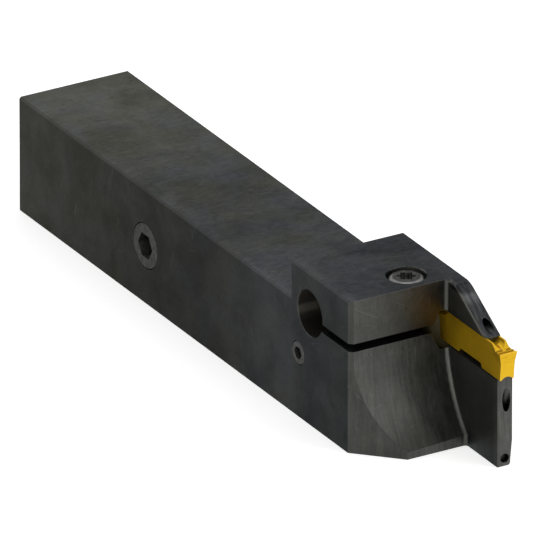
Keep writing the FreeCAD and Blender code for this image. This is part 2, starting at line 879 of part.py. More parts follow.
def make_clamp_screw():
    """Screw with its own origin at the middle of the head's top."""
    body = new_body("clamp_screw")
    head = "(screw_head_diameter / 2)"
    stem = "(screw_diameter / 2)"
    end = "(screw_head_height + screw_length)"
    revolve(
        body,
        "Turned",
        [
            ("0", "0"),
            ("screw_flat_diameter / 2", "0"),
            (head, "0 - screw_crown_drop"),
            (head, "0 - screw_head_height"),
            (stem, "0 - screw_head_height"),
            (stem, f"screw_end_chamfer - {end}"),
            (f"{stem} - screw_end_chamfer", f"0 - {end}"),
            ("0", f"0 - {end}"),
        ],
        {1: ("screw_crown_radius", "left")},
    )
    drill_down(body, "SocketCore", "0", "0", "0", "2 * lobe_core", "lobe_depth")
    lobe = drill_down(
        body, "SocketLobe", "lobe_reach - lobe_radius", "0", "0", "2 * lobe_radius", "lobe_depth"
    )
    lobes = body.newObject("PartDesign::PolarPattern", "SocketLobes")
    lobes.Originals = [lobe]
    lobes.Axis = (origin_part(body, "Z_Axis"), [""])
    lobes.Angle = 360
    lobes.Occurrences = 6
    body.Tip = lobes
    place(body, SCREW_X, "screw_offset", SCREW_TOP)
    return body


def make_threaded_plug(name, x, z):
    """Plug with a hexagon socket, flush in the near side. Its own z axis points out of the hole."""
    body = new_body(name)
    radius = f"({name}_diameter / 2)"
    bevel = f"{name}_chamfer"
    length = f"{name}_length"
    revolve(
        body,
        "Turned",
        [
            ("0", "0"),
            (f"{radius} - {bevel}", "0"),
            (radius, f"0 - {bevel}"),
            (radius, f"{bevel} - {length}"),
            (f"{radius} - {bevel}", f"0 - {length}"),
            ("0", f"0 - {length}"),
        ],
    )
    across = f"{name}_key / 2"
    point = f"({across} / cos(30 deg))"
    key = new_sketch(body, "KeyOutline", "XY_Plane")
    trace(
        key,
        [
            (point, "0"),
            (f"{point} / 2", across),
            (f"0 - {point} / 2", across),
            (f"0 - {point}", "0"),
            (f"0 - {point} / 2", f"0 - {across}"),
            (f"{point} / 2", f"0 - {across}"),
        ],
    )
    extrude(body, "Pocket", "Key", key, f"{name}_key_depth")
    place(body, x, NEAR_SIDE, z, (V(1, 0, 0), 90))
    return body


def make_blade_plug():
    """Press plug in the front end of the blade's drilling."""
    body = new_body("blade_plug")
    radius = "(blade_plug_diameter / 2)"
    revolve(
        body,
        "Turned",
        [
            ("0", "0"),
            (f"{radius} - blade_plug_chamfer", "0"),
            (radius, "0 - blade_plug_chamfer"),
            (radius, "0 - blade_plug_length"),
            ("0", "0 - blade_plug_length"),
        ],
    )
    place(
        body,
        f"{BLADE_FRONT} - blade_plug_sink",
        BLADE_MIDDLE,
        "blade_plug_height",
        (V(0, 1, 0), 90),
    )
    return body


def check_document(bodies):
    for thing in doc.Objects:
        if "Invalid" in thing.State or "Error" in thing.State:
            raise RuntimeError(f"{thing.Name} failed: {thing.State}")
    for body in bodies:
        if body.Shape.isNull() or not body.Shape.isValid():
            raise RuntimeError(f"{body.Label} has no valid shape")
        if len(body.Shape.Solids) != 1:
            raise RuntimeError(f"{body.Label} is not one solid")


def main():
    fill_sheet()
    bodies = [
        make_holder_body(),
        make_insert(),
        make_clamp_screw(),
        make_threaded_plug("side_plug", "side_plug_position", CHANNEL_Z),
        make_threaded_plug("channel_plug", CROSS_X, CROSS_Z),
        make_blade_plug(),
    ]
    doc.recompute()
    check_document(bodies)
    os.makedirs("parts", exist_ok=True)
    for body in bodies:
        body.Shape.exportStep(f"parts/{body.Label}.step")
        print(body.Label, round(body.Shape.Volume, 2), body.Shape.BoundBox)


main()
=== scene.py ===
import math

import bpy
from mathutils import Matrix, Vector


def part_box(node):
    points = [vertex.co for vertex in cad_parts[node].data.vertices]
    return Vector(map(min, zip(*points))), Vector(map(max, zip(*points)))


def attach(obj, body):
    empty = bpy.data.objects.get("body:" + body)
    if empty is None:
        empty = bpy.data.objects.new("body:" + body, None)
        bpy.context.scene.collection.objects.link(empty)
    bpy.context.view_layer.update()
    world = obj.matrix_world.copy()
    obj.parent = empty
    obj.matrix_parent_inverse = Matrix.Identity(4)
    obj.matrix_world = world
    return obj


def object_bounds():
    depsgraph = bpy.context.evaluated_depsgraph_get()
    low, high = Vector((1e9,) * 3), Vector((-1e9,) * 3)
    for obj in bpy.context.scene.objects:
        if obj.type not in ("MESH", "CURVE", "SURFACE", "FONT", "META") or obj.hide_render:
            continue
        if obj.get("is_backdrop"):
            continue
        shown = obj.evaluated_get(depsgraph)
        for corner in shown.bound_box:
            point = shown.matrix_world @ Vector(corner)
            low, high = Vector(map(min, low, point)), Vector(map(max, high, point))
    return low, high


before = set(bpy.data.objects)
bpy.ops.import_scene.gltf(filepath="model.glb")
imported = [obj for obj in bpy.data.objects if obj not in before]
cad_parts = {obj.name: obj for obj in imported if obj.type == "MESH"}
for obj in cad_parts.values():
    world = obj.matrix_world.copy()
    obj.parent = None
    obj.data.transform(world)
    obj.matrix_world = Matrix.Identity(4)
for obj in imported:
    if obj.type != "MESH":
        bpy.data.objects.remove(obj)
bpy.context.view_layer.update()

bl_info = {
    "name": "Grooving Tool Holder Finish",
    "version": (1, 0, 0),
    "blender": (4, 5, 0),
    "location": "3D View > Sidebar > Tool Holder",
    "description": "Finishes the steel, carbide and plugs of a grooving tool holder and sets its studio",
    "category": "Object",
}

# The coolant inlet, in metres: its wall's radius, how far the thread sinks into the wall,
# where the thread starts along x, and the height of the axis
INLET_RADIUS = 0.0043
INLET_SINK = 0.00002
INLET_START = 0.0011
INLET_HEIGHT = 0.0125

# Half the width of the thread's ridge, as a share of the pitch, and its steps in one turn
RIDGE_HALF_WIDTH = 0.40
THREAD_STEPS = 32

# Heights on the head, in millimetres: just above the shank's top face, under the slot,
# above the slot, and of the painted highlight band in the hinge hole
ON_HEAD = 25.5
UNDER_SLOT = 21.9
OVER_SLOT = 23.0
GLINT = 23.3

# The front face of the upper jaw, in millimetres along x, and scratches on it:
# y and z of one end, y and z of the other end, and width
JAW_FACE = 131.66
JAW_SCRATCHES = (
    (-11.7, 31.4, -5.9, 28.1, 0.10),
    (-9.4, 27.4, -6.8, 26.6, 0.07),
    (-2.5, 30.9, 0.6, 29.0, 0.06),
)

# The hinge hole and the drilling behind the insert, in millimetres:
# x and z of the axis, radius, and the y where it starts. The last number is an x between the two.
DRILLINGS = ((115.85, 24.2, 4.84, -14.0), (129.7, 22.25, 4.66, 4.2))
BETWEEN_DRILLINGS = 121.0

# Radius of the screw's socket, in millimetres, and for each plug the number of its axis,
# its share of the plugs' colour and the radius of its socket
SCREW_SOCKET = 1.95
PLUGS = (("side_plug", 1, 1.0, 2.92), ("channel_plug", 1, 1.1, 1.47), ("blade_plug", 0, 0.3, 0.0))

# Depth of the fine relief and width of the lighter edges of turned pieces, in metres
RELIEF_DEPTH = 0.00003
TURNED_EDGE = 0.00015

# The point that the camera looks at and the width of the floor, in metres, and the floor's own light
CAMERA_AIM = (0.07741, 0.00016, 0.01567)
FLOOR_WIDTH = 3.0
FLOOR_LIGHT = 0.62


# Sizes and colours that a user may change


def tone(name, description, colour):
    """A colour property in linear light."""
    return bpy.props.FloatVectorProperty(
        name=name, description=description, default=colour, size=3, subtype="COLOR", min=0.0, max=1.0
    )


def length(name, description, metres):
    return bpy.props.FloatProperty(
        name=name, description=description, default=metres, min=0.0, precision=5, unit="LENGTH"
    )


def share(name, description, amount):
    return bpy.props.FloatProperty(
        name=name, description=description, default=amount, min=0.0, max=1.0, subtype="FACTOR"
    )


def angle(name, description, degrees):
    return bpy.props.FloatProperty(
        name=name, description=description, default=math.radians(degrees), subtype="ANGLE"
    )


def power(name, description, watts):
    return bpy.props.FloatProperty(name=name, description=description, default=watts, min=0.0, unit="POWER")


class HolderSteelSettings(bpy.types.PropertyGroup):
    warm: tone("Warm tone", "Olive part of the blackened steel", (0.0715, 0.0722, 0.0640))
    cool: tone("Cool tone", "Bluish part of the blackened steel", (0.066, 0.069, 0.073))
    bare: tone("Bare tone", "Steel that shows along worn edges and scratches", (0.20, 0.198, 0.19))
    # The drilled tone is darker than the oxide: painted shade on the walls of the holes
    drilled: tone("Drilled tone", "Oily walls of the drilled holes", (0.047, 0.044, 0.037))
    # The contact shadow tone is painted shadow along the insert's edges where the blade holds it
    contact_shadow: tone("Dirt tone", "Oily dirt where the blade holds the insert", (0.010, 0.008, 0.005))
    cloud: length("Cloud size", "Width of the clouds in the oxide", 0.011)
    edge: length("Edge width", "Width of the worn line along the edges", 0.00015)
    roughness: share("Roughness", "Mean roughness of the ground faces", 0.40)
    streak: share("Streaks", "How strongly the grinding marks show", 0.24)


class InsertSettings(bpy.types.PropertyGroup):
    coat: tone("Coating", "Colour of the gold-coloured coating", (0.70, 0.425, 0.020))
    deep: tone("Deep tone", "Darker places in the coating", (0.57, 0.33, 0.016))
    # Painted shade in the grooves of the chip former; the same tone draws the dark lines on the insert's sides
    groove_shade_and_line_tone: tone("Groove tone", "Coating in the grooves of the chip former", (0.22, 0.10, 0.004))
    rubbed: tone("Rubbed tone", "Honed and rubbed edges", (0.86, 0.62, 0.16))
    edge: length("Edge width", "Width of the honed edges", 0.00014)
    roughness: share("Roughness", "Mean roughness of the coating", 0.33)


class BrightSteelSettings(bpy.types.PropertyGroup):
    steel: tone("Steel", "Colour of the turned steel", (0.150, 0.149, 0.146))
    dull: tone("Dull tone", "Oily and rubbed places", (0.090, 0.090, 0.089))
    roughness: share("Roughness", "Mean roughness of the screw", 0.30)


class PlugSettings(bpy.types.PropertyGroup):
    steel: tone("Steel", "Colour of the dark plugs", (0.082, 0.082, 0.080))
    dull: tone("Dull tone", "Oxide left in the turning marks", (0.050, 0.050, 0.049))
    roughness: share("Roughness", "Mean roughness of the plugs", 0.42)


class InletThreadSettings(bpy.types.PropertyGroup):
    pitch: length("Pitch", "Distance from one turn to the next", 0.000907)
    depth: length("Depth", "Height of the thread's ridge", 0.00034)
    turns: bpy.props.IntProperty(name="Turns", description="Number of turns", default=9, min=1, max=40)


class StudioSettings(bpy.types.PropertyGroup):
    azimuth: angle("Azimuth", "Camera's turn round the object", 59.925)
    elevation: angle("Elevation", "Camera's height above the horizon", 25.116)
    distance: length("Distance", "From the camera to the point it looks at", 4.983)
    lens: bpy.props.FloatProperty(
        name="Lens", description="Focal length in millimetres", default=1690.0, min=1.0
    )
    floor: tone("Floor", "Colour of the floor", (0.80, 0.80, 0.80))
    key: power("Key", "Power of the large front lamp", 4.0)
    top: power("Top", "Power of the lamp overhead", 1.0)
    back: power("Back", "Power of the lamp behind", 0.06)
    ambient: share("Ambient", "Level of the light from all sides", 0.55)


# Node helpers


def node(tree, kind, values=None, **settings):
    """Adds a node. Values are numbers or sockets, by socket name or number."""
    made = tree.nodes.new(kind)
    for name, setting in settings.items():
        setattr(made, name, setting)
    for name, value in (values or {}).items():
        if isinstance(value, bpy.types.NodeSocket):
            tree.links.new(value, made.inputs[name])
        else:
            made.inputs[name].default_value = value
    return made


def maths(tree, operation, first, second=0.0, third=0.0):
    return node(tree, "ShaderNodeMath", {0: first, 1: second, 2: third}, operation=operation).outputs[0]


def product(tree, *factors):
    total = factors[0]
    for factor in factors[1:]:
        total = maths(tree, "MULTIPLY", total, factor)
    return total


def changed(tree, level, change):
    """A level that is raised or lowered by a share of itself."""
    return product(tree, level, maths(tree, "ADD", change, 1.0))


def distance(tree, value, centre):
    """How far a number is from a centre, on either side of it."""
    return maths(tree, "ABSOLUTE", maths(tree, "SUBTRACT", value, centre))


def scaled(tree, vector, factors):
    return node(tree, "ShaderNodeVectorMath", {0: vector, 1: factors}, operation="MULTIPLY").outputs[0]


def split(tree, vector):
    """The x, y and z sockets of a vector."""
    return node(tree, "ShaderNodeSeparateXYZ", {0: vector}).outputs


def grey(tree, level):
    """The same number in all three channels of a colour."""
    return node(tree, "ShaderNodeCombineXYZ", {0: level, 1: level, 2: level}).outputs[0]


def noise(tree, vector, scale, detail=4.0, roughness=0.55, distortion=0.0):
    values = {"Vector": vector, "Scale": scale, "Detail": detail, "Roughness": roughness, "Distortion": distortion}
    return node(tree, "ShaderNodeTexNoise", values).outputs["Fac"]


def between(tree, value, low, high, out_low=0.0, out_high=1.0):
    """A value from low to high becomes one from out_low to out_high, and stops there."""
    values = {0: value, 1: low, 2: high, 3: out_low, 4: out_high}
    return node(tree, "ShaderNodeMapRange", values).outputs[0]


def pick(tree, choice, first, second):
    """The first number where the choice is 0, the second where it is 1."""
    return node(tree, "ShaderNodeMix", {0: choice, 2: first, 3: second}, data_type="FLOAT").outputs[0]


def blend(tree, factor, first, second, mode="MIX"):
    """Mixes two colours, which are sockets or three numbers each."""
    mix = node(tree, "ShaderNodeMix", {0: factor}, data_type="RGBA", blend_type=mode)
    for number, colour in ((6, first), (7, second)):
        if isinstance(colour, bpy.types.NodeSocket):
            tree.links.new(colour, mix.inputs[number])
        else:
            mix.inputs[number].default_value = (*colour, 1.0)
    return mix.outputs[2]


def new_group(name, inputs, outputs):
    """A shader node group with named sockets. Returns its tree, its input node and its output node."""
    tree = bpy.data.node_groups.new(name, "ShaderNodeTree")
    for label, (kind, default) in inputs.items():
        socket = tree.interface.new_socket(label, in_out="INPUT", socket_type=kind)
        if default is not None:
            socket.default_value = default
    for label, kind in outputs.items():
        tree.interface.new_socket(label, in_out="OUTPUT", socket_type=kind)
    return tree, tree.nodes.new("NodeGroupInput"), tree.nodes.new("NodeGroupOutput")


def use_group(tree, group, values):
    placed = tree.nodes.new("ShaderNodeGroup")
    placed.node_tree = group
    for name, value in values.items():
        if isinstance(value, bpy.types.NodeSocket):
            tree.links.new(value, placed.inputs[name])
        else:
            placed.inputs[name].default_value = value
    return placed.outputs


def new_material(name):
    material = bpy.data.materials.new(name)
    material.use_nodes = True
    tree = material.node_tree
    tree.nodes.clear()
    shader = tree.nodes.new("ShaderNodeBsdfPrincipled")
    surface = tree.nodes.new("ShaderNodeOutputMaterial")
    tree.links.new(shader.outputs[0], surface.inputs["Surface"])
    return material, tree, shader


# Shared node groups


def grain_directions():
    """Coordinates in millimetres across and along the tool marks, and which way a face looks."""
    name = "grain_directions"
    if name in bpy.data.node_groups:
        return bpy.data.node_groups[name]
    tree, into, out = new_group(
        name,
        {"Vector": ("NodeSocketVector", None), "Normal": ("NodeSocketVector", None)},
        {
            "Marks": "NodeSocketVector",
            "Millimetres": "NodeSocketVector",
            "Slope": "NodeSocketFloat",
            "Front": "NodeSocketFloat",
            "Side": "NodeSocketFloat",
            "Upward": "NodeSocketFloat",
            "Rise": "NodeSocketFloat",
        },
    )
    place = scaled(tree, into.outputs["Vector"], (1000.0, 1000.0, 1000.0))
    spot = split(tree, place)
    way = split(tree, into.outputs["Normal"])
    front = maths(tree, "GREATER_THAN", maths(tree, "ABSOLUTE", way[0]), 0.2)
    side = maths(tree, "ABSOLUTE", way[1])
    on_head = maths(tree, "GREATER_THAN", spot[2], ON_HEAD)
    slope = product(tree, front, on_head, maths(tree, "GREATER_THAN", way[2], 0.6))
    across = pick(tree, front, spot[0], spot[1])
    upright = maths(tree, "MAXIMUM", front, maths(tree, "GREATER_THAN", side, 0.8))
    along = pick(tree, slope, pick(tree, upright, spot[1], spot[2]), spot[0])
    layer = maths(tree, "MULTIPLY_ADD", front, 17.0, product(tree, upright, 41.0))
    found = {
        "Marks": node(tree, "ShaderNodeCombineXYZ", {0: across, 1: along, 2: layer}).outputs[0],
        "Millimetres": place,
        "Slope": slope,
        "Front": front,
        "Side": side,
        "Upward": maths(tree, "GREATER_THAN", way[2], 0.3),
        "Rise": way[2],
    }
    for label, socket in found.items():
        tree.links.new(socket, out.inputs[label])
    return tree


def worn_edges():
    """A mask along convex and concave edges, broken up by noise, and the normal of slightly rounded edges."""
    name = "worn_edges"
    if name in bpy.data.node_groups:
        return bpy.data.node_groups[name]
    tree, into, out = new_group(
        name,
        {"Millimetres": ("NodeSocketVector", None), "Width": ("NodeSocketFloat", 0.0002)},
        {"Mask": "NodeSocketFloat", "Normal": "NodeSocketVector"},
    )
    rounded = node(tree, "ShaderNodeBevel", {"Radius": into.outputs["Width"]}, samples=6).outputs[0]
    true = node(tree, "ShaderNodeNewGeometry").outputs["Normal"]
    same = node(tree, "ShaderNodeVectorMath", {0: rounded, 1: true}, operation="DOT_PRODUCT").outputs["Value"]
    bend = between(tree, maths(tree, "SUBTRACT", 1.0, same), 0.01, 0.16)
    patches = between(tree, noise(tree, into.outputs["Millimetres"], 0.9, 3.0), 0.35, 0.62, 0.35, 1.0)
    tree.links.new(product(tree, bend, patches), out.inputs["Mask"])
    tree.links.new(rounded, out.inputs["Normal"])
    return tree


def fine_scratches():
    """Thin straight scratches in a few directions, broken up along their length."""
    name = "fine_scratches"
    if name in bpy.data.node_groups:
        return bpy.data.node_groups[name]
    tree, into, out = new_group(
        name,
        {"Marks": ("NodeSocketVector", None), "Density": ("NodeSocketFloat", 0.5)},
        {"Mask": "NodeSocketFloat"},
    )
    total = 0.0
    for turn, stretch, width in ((14, 0.035, 0.012), (-32, 0.05, 0.010), (71, 0.03, 0.008)):
        values = {"Vector": into.outputs["Marks"], "Rotation": (0.0, 0.0, math.radians(turn))}
        turned = node(tree, "ShaderNodeMapping", values).outputs[0]
        lines = noise(tree, scaled(tree, turned, (1.1, stretch, 1.0)), 1.0, 2.0, 0.5)
        thin = between(tree, distance(tree, lines, 0.5), 0.0, width, 1.0, 0.0)
        breaks = noise(tree, scaled(tree, turned, (0.5, 0.16, 1.0)), 1.0, 1.0)
        total = maths(tree, "MAXIMUM", total, product(tree, thin, between(tree, breaks, 0.60, 0.68)))
    tree.links.new(product(tree, total, into.outputs["Density"]), out.inputs["Mask"])
    return tree


def drilled_walls():
    """A mask of the walls of the hinge hole and of the drilling behind the insert."""
    name = "drilled_walls"
    if name in bpy.data.node_groups:
        return bpy.data.node_groups[name]
    tree, into, out = new_group(name, {"Millimetres": ("NodeSocketVector", None)}, {"Mask": "NodeSocketFloat"})
    place = into.outputs["Millimetres"]
    spot = split(tree, place)
    behind_jaw = maths(tree, "LESS_THAN", spot[0], JAW_FACE - 0.06)
    total = 0.0
    for x, z, radius, start in DRILLINGS:
        moved = node(tree, "ShaderNodeVectorMath", {0: place, 1: (x, 0.0, z)}, operation="SUBTRACT").outputs[0]
        flat = scaled(tree, moved, (1.0, 0.0, 1.0))
        away = node(tree, "ShaderNodeVectorMath", {0: flat}, operation="LENGTH").outputs["Value"]
        started = maths(tree, "GREATER_THAN", spot[1], start)
        inside = product(tree, maths(tree, "LESS_THAN", away, radius), started, behind_jaw)
        total = maths(tree, "MAXIMUM", total, inside)
    tree.links.new(total, out.inputs["Mask"])
    return tree


def seat_dirt():
    """A mask of painted contact shadow along the lower and upper edges of the insert, where the blade holds it."""
    name = "seat_dirt"
    if name in bpy.data.node_groups:
        return bpy.data.node_groups[name]
    tree, into, out = new_group(name, {"Millimetres": ("NodeSocketVector", None)}, {"Mask": "NodeSocketFloat"})
    low, high = (1000.0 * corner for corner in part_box("insert"))
    spot = split(tree, into.outputs["Millimetres"])
    under = between(tree, distance(tree, spot[2], low.z + 0.25), 0.35, 0.70, 0.85, 0.0)
    over = between(tree, distance(tree, spot[2], high.z + 0.02), 0.10, 0.34, 0.60, 0.0)
    beside = maths(tree, "GREATER_THAN", spot[1], low.y - 0.3)
    ahead = maths(tree, "GREATER_THAN", spot[0], low.x + 5.0)
    tree.links.new(product(tree, maths(tree, "MAXIMUM", under, over), beside, ahead), out.inputs["Mask"])
    return tree


def jaw_scratches():
    """Long single scratches across the front face of the upper jaw, from one end to the other."""
    name = "jaw_scratches"
    if name in bpy.data.node_groups:
        return bpy.data.node_groups[name]
    tree, into, out = new_group(name, {"Millimetres": ("NodeSocketVector", None)}, {"Mask": "NodeSocketFloat"})
    spot = split(tree, into.outputs["Millimetres"])
    face = maths(tree, "LESS_THAN", distance(tree, spot[0], JAW_FACE), 0.05)
    total = 0.0
    for start_y, start_z, end_y, end_z, width in JAW_SCRATCHES:
        slant = (end_z - start_z) / (end_y - start_y)
        line_z = maths(tree, "MULTIPLY_ADD", spot[1], slant, start_z - slant * start_y)
        strand = between(tree, distance(tree, spot[2], line_z), 0.2 * width, width, 1.0, 0.0)
        reach = distance(tree, spot[1], (start_y + end_y) / 2)
        ends = between(tree, reach, 0.3 * (end_y - start_y), 0.5 * (end_y - start_y), 1.0, 0.0)
        total = maths(tree, "MAXIMUM", total, product(tree, strand, ends))
    tree.links.new(product(tree, total, face), out.inputs["Mask"])
    return tree


# Materials


def surface_coordinates(tree):
    coordinates = tree.nodes.new("ShaderNodeTexCoord")
    values = {"Vector": coordinates.outputs["Object"], "Normal": coordinates.outputs["Normal"]}
    return use_group(tree, grain_directions(), values)


def add_relief(tree, shader, height, strength, normal):
    """Fine relief over the slightly rounded edges."""
    values = {"Strength": strength, "Distance": RELIEF_DEPTH, "Height": height, "Normal": normal}
    tree.links.new(node(tree, "ShaderNodeBump", values).outputs[0], shader.inputs["Normal"])


def holder_parts(tree, grain, spot):
    """Masks of the parts of the holder that get painted light and shade of their own, and patches of painted bluish
    sheen along the near rim.
    """
    front = grain["Front"]
    above_slot = maths(tree, "GREATER_THAN", spot[2], OVER_SLOT)
    below_slot = maths(tree, "LESS_THAN", spot[2], UNDER_SLOT)
    patches = noise(tree, scaled(tree, grain["Millimetres"], (0.7, 1.6, 1.0)), 0.16, 4.0, 0.6)
    return {
        "plate": maths(tree, "SUBTRACT", between(tree, spot[1], 4.0, 6.0), between(tree, spot[1], 11.0, 12.0)),
        "jaw": product(tree, front, above_slot, maths(tree, "LESS_THAN", spot[0], JAW_FACE + 0.54)),
        "low front": product(tree, front, below_slot),
        # Patches of painted bluish sheen along the near rim of the faces that don't look sideways
        "near rim": product(
            tree,
            between(tree, spot[1], -12.5, -7.5, 1.0, 0.0),
            maths(tree, "SUBTRACT", 1.0, grain["Side"]),
            between(tree, patches, 0.42, 0.62),
        ),
    }


def oxide_tint(tree, grain, spot, cloud, near_rim):
    """How bluish the oxide is: olive at the rear, bluish toward the head, neutral on the front faces, and bluish in
    the painted sheen along the near rim.
    """
    clouds = noise(tree, grain["Millimetres"], 0.001 / cloud, 3.0, 0.5, 0.3)
    toward_head = between(tree, spot[0], 5.0, 118.0, -0.16, 0.20)
    on_top = between(tree, maths(tree, "ADD", clouds, toward_head), 0.32, 0.70)
    on_side = between(tree, maths(tree, "MULTIPLY_ADD", toward_head, 1.6, clouds), 0.22, 1.00)
    tint = maths(tree, "MAXIMUM", pick(tree, grain["Side"], on_top, on_side), near_rim)
    face = maths(tree, "SUBTRACT", grain["Front"], grain["Slope"])
    tint = product(tree, tint, between(tree, face, 0.0, 1.0, 1.0, 0.25))
    blade = product(tree, grain["Side"], between(tree, spot[1], 4.0, 6.0), between(tree, spot[2], 2.5, 6.0))
    return changed(tree, tint, product(tree, blade, -0.85))


def oxide_texture(tree, grain, streak):
    """Soft clouds and smears, partly the oxide's own and partly painted sheen, grain and stains of the oxide, and the
    lines along its tool marks.
    """
    place, marks, slope, side = (grain[name] for name in ("Millimetres", "Marks", "Slope", "Side"))
    soft = noise(tree, scaled(tree, place, (1.0, 0.7, 1.0)), 0.10, 3.0, 0.5, 0.5)
    smears = noise(tree, scaled(tree, marks, (0.52, 0.32, 1.0)), 1.0, 5.0, 0.62, 1.6)
    grainy = noise(tree, place, 1.5, 4.0, 0.65, 0.4)
    stains = noise(tree, place, 0.30, 5.0, 0.7, 1.2)
    lines = noise(tree, scaled(tree, marks, (4.2, 0.20, 1.0)), 1.0, 4.0, 0.6, 0.25)
    wide_lines = noise(tree, scaled(tree, marks, (1.5, 0.13, 1.0)), 1.0, 3.0, 0.5, 0.6)
    calm = maths(tree, "MULTIPLY_ADD", side, -0.65, 1.0)
    smears = product(tree, between(tree, smears, 0.3, 0.7, -0.13, 0.13), calm)
    strength = maths(tree, "MULTIPLY_ADD", slope, 2.6, product(tree, calm, streak))
    fine, broad = (product(tree, maths(tree, "SUBTRACT", strands, 0.5), strength) for strands in (lines, wide_lines))
    clouds_and_sheen = product(
        tree,
        between(tree, soft, 0.30, 0.70, 0.86, 1.15),
        maths(tree, "ADD", smears, 1.0),
        between(tree, grainy, 0.3, 0.7, 0.95, 1.05),
        between(tree, stains, 0.60, 0.78, 1.0, 0.84),
    )
    return {"clouds_and_sheen": clouds_and_sheen, "smears": smears, "lines": lines, "fine": fine, "broad": broad}


def painted_face_light(tree, grain, spot):
    """Painted light along the shank and head of the faces that look up: lighter toward the shank's rear, a little
    lighter from x 75 to 100 mm and darker from x 108 mm on; and over the ground slope of the finger, a painted
    highlight band with painted shade low on it and at its top.
    """
    along = product(
        tree,
        between(tree, spot[0], 0.0, 60.0, 1.34, 1.04),
        between(tree, spot[0], 75.0, 100.0, 1.0, 1.08),
        between(tree, spot[0], 108.0, 112.0, 1.0, 0.84),
    )
    ground_slope = product(
        tree, between(tree, spot[2], 30.1, 31.0, 0.64, 1.18), between(tree, spot[2], 31.4, 31.9, 1.0, 0.6)
    )
    return pick(tree, grain["Front"], along, pick(tree, grain["Slope"], 0.97, ground_slope))


def painted_side_light(tree, grain, spot, plate):
    """Painted light and shade on the sides of the shank, the head and the blade: painted shade on the sides, painted
    light on the blade's side and near its foot, a lighter band along the near edge, and painted shade at the finger's
    knee.
    """
    side = grain["Side"]
    blade = product(tree, plate, side)
    blade_foot = product(
        tree,
        between(tree, spot[0], 143.0, 146.5, 0.48, 0.0),
        between(tree, spot[2], 7.0, 13.5, 1.0, 0.0),
        between(tree, spot[2], 2.2, 4.2),
    )
    return (
        product(tree, side, pick(tree, plate, -0.30, between(tree, spot[2], 3.0, 18.0, 0.20, 0.68))),
        product(tree, blade, between(tree, spot[0], 139.0, 149.0, 0.26, -0.34)),
        product(tree, blade, blade_foot),
        product(tree, between(tree, spot[0], 75.0, 105.0, 0.0, 0.15), between(tree, spot[1], -12.0, -10.0, 1.0, 0.0)),
        product(
            tree,
            between(tree, spot[0], 132.2, 133.5),
            between(tree, spot[2], 31.4, 32.0),
            maths(tree, "MULTIPLY_ADD", side, -0.45, -0.28),
        ),
    )


def painted_front_light(tree, grain, spot, jaw, low_front):
    """Painted light and shade on the jaw's front, in the scoop below it and on the blade's front: painted shade on
    the jaw, most at its near end, and growing toward the far side, painted reflections in wavy streaks with feed
    marks, painted shade where the low fronts turn upward, painted light streaks in the middle of the scoop, and
    lighter from x 150 mm on.
    """
    front, marks = grain["Front"], grain["Marks"]
    fall = pick(tree, jaw, product(tree, front, -0.10), -0.34)
    wavy_reflections = noise(tree, scaled(tree, marks, (0.75, 0.07, 1.0)), 1.0, 3.0, 0.55, 1.6)
    wavy_reflections = product(tree, maths(tree, "SUBTRACT", front, jaw), between(tree, wavy_reflections, 0.3, 0.7, -0.16, 0.16))
    feed = noise(tree, scaled(tree, grain["Millimetres"], (0.0, 0.05, 1.6)), 1.0, 3.0, 0.6)
    feed = product(tree, maths(tree, "SUBTRACT", feed, 0.5), front, 0.10)
    streak_lights = noise(tree, scaled(tree, marks, (1.5, 0.30, 1.0)), 1.0, 3.0, 0.6, 2.2)
    middle = product(tree, between(tree, spot[1], -5.0, -2.0), between(tree, spot[1], 2.0, 5.0, 1.0, 0.0))
    return (
        product(tree, jaw, between(tree, spot[1], -12.5, -7.0, -0.21, -0.08)),
        product(tree, between(tree, spot[1], -10.0, 7.0), fall),
        maths(tree, "ADD", wavy_reflections, feed),
        product(tree, low_front, between(tree, grain["Rise"], 0.05, 0.60, 0.0, -0.34)),
        product(tree, maths(tree, "SUBTRACT", streak_lights, 0.32), middle, low_front, 0.50),
        between(tree, spot[0], 149.5, 150.5, 0.0, 0.15),
    )


def wall_tone_and_painted_light(tree, spot, drilled):
    """Colour of the drilled walls with painted light: a painted highlight band in the hinge hole with painted shade
    below it, and behind the insert painted shade toward the near end, warmed as a painted reflection of the insert.
    """
    glint = between(tree, distance(tree, spot[2], GLINT), 0.45, 1.15, 1.7, 0.0)
    hinge_wall = maths(tree, "ADD", between(tree, spot[2], 21.0, 22.2, 0.55, 1.0), glint)
    relief_wall = between(tree, spot[1], 8.4, 9.6, 0.30, 1.40)
    behind_insert = maths(tree, "GREATER_THAN", spot[0], BETWEEN_DRILLINGS)
    red = pick(tree, behind_insert, hinge_wall, relief_wall)
    green = changed(tree, red, product(tree, behind_insert, -0.10))
    blue = changed(tree, red, product(tree, behind_insert, -0.42))
    depth = node(tree, "ShaderNodeCombineXYZ", {0: red, 1: green, 2: blue}).outputs[0]
    return blend(tree, 1.0, drilled, depth, "MULTIPLY")


